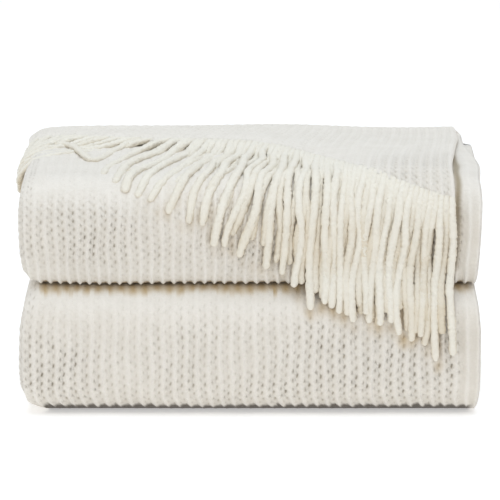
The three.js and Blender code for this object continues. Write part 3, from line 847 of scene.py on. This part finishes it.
def mesh_object(name, points, marks, faces, material):
    """Object at the origin from points in millimetres, marks and triangles. Marks become the attribute
    thread (painted shade in hollows, painted tan crease shade, painted shadow) and, where there are six,
    also stitch (rib, row, weight)."""
    mesh = bpy.data.meshes.new(name)
    mesh.from_pydata(((points + PLACE) / 1000).tolist(), [], faces.tolist())
    for k, label in enumerate(("thread", "stitch")[:marks.shape[1] // 3]):
        values = np.ascontiguousarray(marks[:, 3 * k:3 * k + 3], np.float32)
        mesh.attributes.new(label, "FLOAT_VECTOR", "POINT").data.foreach_set("vector", values.ravel())
    mesh.polygons.foreach_set("use_smooth", np.ones(len(faces), bool))
    mesh.materials.append(material)
    mesh.update()
    piece = bpy.data.objects.new(name, mesh)
    bpy.context.collection.objects.link(piece)
    return piece


def set_inputs(node, values):
    """Sets fixed values on a node's inputs by name."""
    for label, value in values.items():
        node.inputs[label].default_value = value


def calculated(tree, operation, *terms, clamp=False):
    """Output of a math node whose terms are numbers or other nodes' outputs."""
    node = tree.nodes.new("ShaderNodeMath")
    node.operation = operation
    node.use_clamp = clamp
    for socket, term in zip(node.inputs, terms):
        if isinstance(term, float):
            socket.default_value = term
        else:
            tree.links.new(term, socket)
    return node.outputs[0]


def mixed(tree, share, first, second):
    """Output of a node that mixes a node's colour, or a fixed one, towards a fixed colour by a share."""
    node = tree.nodes.new("ShaderNodeMix")
    node.data_type = "RGBA"
    tree.links.new(share, node.inputs[0])
    if isinstance(first, tuple):
        node.inputs[6].default_value = (*first, 1)
    else:
        tree.links.new(first, node.inputs[6])
    node.inputs[7].default_value = (*second, 1)
    return node.outputs[2]


def bumped(tree, height, distance, under=None):
    """Normal of a bump node of the given depth in metres, laid over another normal if there is one."""
    node = tree.nodes.new("ShaderNodeBump")
    set_inputs(node, {"Strength": 0.8, "Distance": distance})
    tree.links.new(height, node.inputs["Height"])
    if under:
        tree.links.new(under, node.inputs["Normal"])
    return node.outputs["Normal"]


def attribute_parts(tree, label):
    """The three numbers of a mesh attribute."""
    attribute = tree.nodes.new("ShaderNodeAttribute")
    attribute.attribute_name = label
    parts = tree.nodes.new("ShaderNodeSeparateXYZ")
    tree.links.new(attribute.outputs["Vector"], parts.inputs["Vector"])
    return parts.outputs


def noise(tree, values):
    """Noise node on the object's own coordinates."""
    place = tree.nodes.new("ShaderNodeTexCoord")
    node = tree.nodes.new("ShaderNodeTexNoise")
    set_inputs(node, values)
    tree.links.new(place.outputs["Object"], node.inputs["Vector"])
    return node


def pile_group():
    """Short chenille pile as a shader group: fine noise of a given size is its height, and fine and broad
    noise together are its tone."""
    group = bpy.data.node_groups.new("chenille_pile", "ShaderNodeTree")
    for label, way in (("Size", "INPUT"), ("Height", "OUTPUT"), ("Tone", "OUTPUT")):
        group.interface.new_socket(label, in_out=way, socket_type="NodeSocketFloat")
    inputs = group.nodes.new("NodeGroupInput")
    outputs = group.nodes.new("NodeGroupOutput")
    fine = noise(group, {"Detail": 3.0, "Roughness": 0.65})
    broad = noise(group, {"Detail": 4.0, "Scale": 70.0})
    tone = calculated(group, "MULTIPLY_ADD", fine.outputs["Fac"], 0.9, broad.outputs["Fac"])
    group.links.new(inputs.outputs["Size"], fine.inputs["Scale"])
    group.links.new(fine.outputs["Fac"], outputs.inputs["Height"])
    group.links.new(tone, outputs.inputs["Tone"])
    return group


def knit_group():
    """Stitches of the rib knit as a shader group, finer than the mesh carries them, from each point's rib,
    row and weight: a slanted oval hole in every rib and row, an oval loop and a small hole half a row
    further on, and slanted strands along the ridge, each stitch a little uneven. Height is bump; Hollow is
    painted shade in the holes. An oval is 1 less the squares of its two distances."""
    group = bpy.data.node_groups.new("rib_knit", "ShaderNodeTree")
    for label in ("Height", "Hollow"):
        group.interface.new_socket(label, in_out="OUTPUT", socket_type="NodeSocketFloat")
    outputs = group.nodes.new("NodeGroupOutput")

    def value(operation, *terms, clamp=False):
        return calculated(group, operation, *terms, clamp=clamp)

    def oval(across, along, wide, tall):
        a, b = value("DIVIDE", across, wide), value("DIVIDE", along, tall)
        return value("SUBTRACT", 1.0, value("MULTIPLY_ADD", a, a, value("MULTIPLY", b, b)), clamp=True)

    rib, row, weight = attribute_parts(group, "stitch")
    across = value("FRACT", rib)
    near = value("SUBTRACT", row, value("ROUND", row))
    half = value("SUBTRACT", value("FRACT", row), 0.5)
    cell = group.nodes.new("ShaderNodeCombineXYZ")
    group.links.new(value("FLOOR", rib), cell.inputs["X"])
    group.links.new(value("ROUND", row), cell.inputs["Y"])
    chance = group.nodes.new("ShaderNodeTexWhiteNoise")
    chance.noise_dimensions = "2D"
    group.links.new(cell.outputs["Vector"], chance.inputs["Vector"])
    uneven = value("MULTIPLY_ADD", chance.outputs["Value"], 0.9, 0.45)

    slanted = value("MULTIPLY_ADD", near, 0.22, value("SUBTRACT", across, HOLE_AT))
    hole = value("MULTIPLY", uneven, oval(slanted, near, 0.10, 0.27))
    crossing = value("MULTIPLY_ADD", half, -0.20, value("SUBTRACT", across, FINE_LOOP_AT))
    loop = value("MULTIPLY", uneven, oval(crossing, half, 0.17, 0.46))
    beyond = value("SUBTRACT", across, FINE_SMALL_HOLE_AT)
    small = value("MULTIPLY", uneven, oval(beyond, half, 0.09, 0.26))
    beside = value("SUBTRACT", across, value("ROUND", across))
    strands = value("SINE", value("MULTIPLY_ADD", row, 12.57, value("MULTIPLY", beside, 10.0)))
    ridge = value("MULTIPLY", strands, oval(beside, 0.0, 0.24, 1.0))
    raised = value("MULTIPLY_ADD", ridge, 0.22, value("MULTIPLY", loop, 0.9))
    sunk = value("MULTIPLY_ADD", small, 0.6, hole)
    group.links.new(value("MULTIPLY", weight, value("SUBTRACT", raised, sunk)), outputs.inputs["Height"])
    group.links.new(value("MULTIPLY", weight, sunk, clamp=True), outputs.inputs["Hollow"])
    return group


def chenille(name, pile, light, painted_shade, depth, pile_size, pile_depth, knitted=None):
    """Matt chenille with a soft sheen. Its light tone is mixed towards the darker painted shade tone by the
    sum of the hollow mark times depth, which is painted shade, on the yarn with a random tone added, the
    pile's random tone and the knit's holes, painted shade too, then towards the painted crease shade and
    painted shadow tones by their marks. The stitches of the knit, if it has one, and the pile are bump."""
    material = bpy.data.materials.new(name)
    material.use_nodes = True
    tree = material.node_tree
    shader = tree.nodes["Principled BSDF"]
    set_inputs(shader, {"Roughness": 0.92, "Specular IOR Level": 0.2})
    set_inputs(shader, {"Sheen Weight": 0.2, "Sheen Roughness": 0.5})
    fibres = tree.nodes.new("ShaderNodeGroup")
    fibres.node_tree = pile
    set_inputs(fibres, {"Size": pile_size})
    tone = tree.nodes.new("ShaderNodeMapRange")
    set_inputs(tone, {"From Min": 0.75, "From Max": 1.35, "To Max": 0.17})
    tree.links.new(fibres.outputs["Tone"], tone.inputs["Value"])
    uneven, normal = tone.outputs["Result"], None
    if knitted:
        stitches = tree.nodes.new("ShaderNodeGroup")
        stitches.node_tree = knitted
        # The knit's holes add painted shade.
        uneven = calculated(tree, "MULTIPLY_ADD", stitches.outputs["Hollow"], 0.5, uneven)
        normal = bumped(tree, stitches.outputs["Height"], 0.0008)
    hollow, crease_shade, shadow = attribute_parts(tree, "thread")
    deep = calculated(tree, "MULTIPLY_ADD", hollow, depth, uneven, clamp=True)
    colour = mixed(tree, deep, light, painted_shade)
    colour = mixed(tree, crease_shade, colour, CREASE_SHADE_TONE)
    colour = mixed(tree, shadow, colour, SHADOW_TONE)
    normal = bumped(tree, fibres.outputs["Height"], pile_depth, normal)
    tree.links.new(colour, shader.inputs["Base Color"])
    tree.links.new(normal, shader.inputs["Normal"])
    return material


def floor_sheet():
    """White floor, one wide flat sheet that glows a little."""
    mesh = bpy.data.meshes.new("floor")
    mesh.from_pydata([(-6, -6, 0), (6, -6, 0), (6, 8, 0), (-6, 8, 0)], [], [(0, 1, 2, 3)])
    floor = bpy.data.objects.new("floor", mesh)
    bpy.context.collection.objects.link(floor)
    white = bpy.data.materials.new("white_floor")
    white.use_nodes = True
    shader = white.node_tree.nodes["Principled BSDF"]
    set_inputs(shader, {"Base Color": (0.75, 0.75, 0.75, 1), "Roughness": 0.9})
    set_inputs(shader, {"Emission Color": (1, 1, 1, 1), "Emission Strength": 0.41})
    mesh.materials.append(white)


def studio_light():
    """Even surround and three wide soft lamps: high at the front left, low at the front right, above."""
    world = bpy.data.worlds.new("studio")
    world.use_nodes = True
    set_inputs(world.node_tree.nodes["Background"], {"Color": (1.0, 0.99, 0.97, 1), "Strength": 0.60})
    bpy.context.scene.world = world
    for name, place, power, tint in LAMPS:
        lamp = bpy.data.lights.new(name, "AREA")
        lamp.size = LAMP_SIZE
        lamp.energy = power
        lamp.color = tint
        holder = bpy.data.objects.new(name, lamp)
        holder.location = place
        aim = np.array(LAMP_AIM) - np.array(place)
        holder.rotation_euler = (math.acos(-aim[2] / np.linalg.norm(aim)), 0, math.atan2(-aim[0], aim[1]))
        bpy.context.collection.objects.link(holder)


def camera():
    """Long lens in front of the throw, looking slightly down on it."""
    lens = bpy.data.cameras.new("front")
    lens.sensor_width = 36.0
    lens.lens = CAMERA_LENS
    lens.clip_end = 50.0
    eye = bpy.data.objects.new("front", lens)
    tilt = math.radians(CAMERA_TILT)
    eye.location = np.array(CAMERA_AIM) + CAMERA_DISTANCE * np.array((0, -math.cos(tilt), math.sin(tilt)))
    eye.rotation_euler = (math.pi / 2 - tilt, 0, 0)
    bpy.context.collection.objects.link(eye)
    bpy.context.scene.camera = eye


pile = pile_group()
# Each finish has its own light colour and a darker tone for painted shade.
cloth_finish = chenille(
    "ivory_chenille", pile, light=(0.855, 0.818, 0.755), painted_shade=(0.50, 0.45, 0.36), depth=1.0,
    pile_size=620.0, pile_depth=0.0010, knitted=knit_group(),
)
yarn_finish = chenille(
    "ivory_fringe_yarn", pile, light=(0.87, 0.84, 0.755), painted_shade=(0.69, 0.60, 0.45), depth=0.8,
    pile_size=420.0, pile_depth=0.0015,
)

strands = fringe_paths()
ends = strands[0][:FLAT_FROM, -1]
ends = ends[np.argsort(ends[:, 0])]
shell = cloth_shell((ends[:, 0], ends[:, 2]))
layers = [np.concatenate(part) for part in (shell.points, shell.marks, shell.faces)]
cloth = mesh_object("folded_throw", *layers, cloth_finish)
fringe = mesh_object("throw_fringe", *strand_tubes(*strands), yarn_finish)

for piece, node, slot in ((cloth, "blanket", "chenille"), (fringe, "fringe", "fringe_yarn")):
    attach(piece, "root")
    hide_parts(node)

floor_sheet()
studio_light()
camera()
bpy.context.scene.view_settings.view_transform = "Standard"
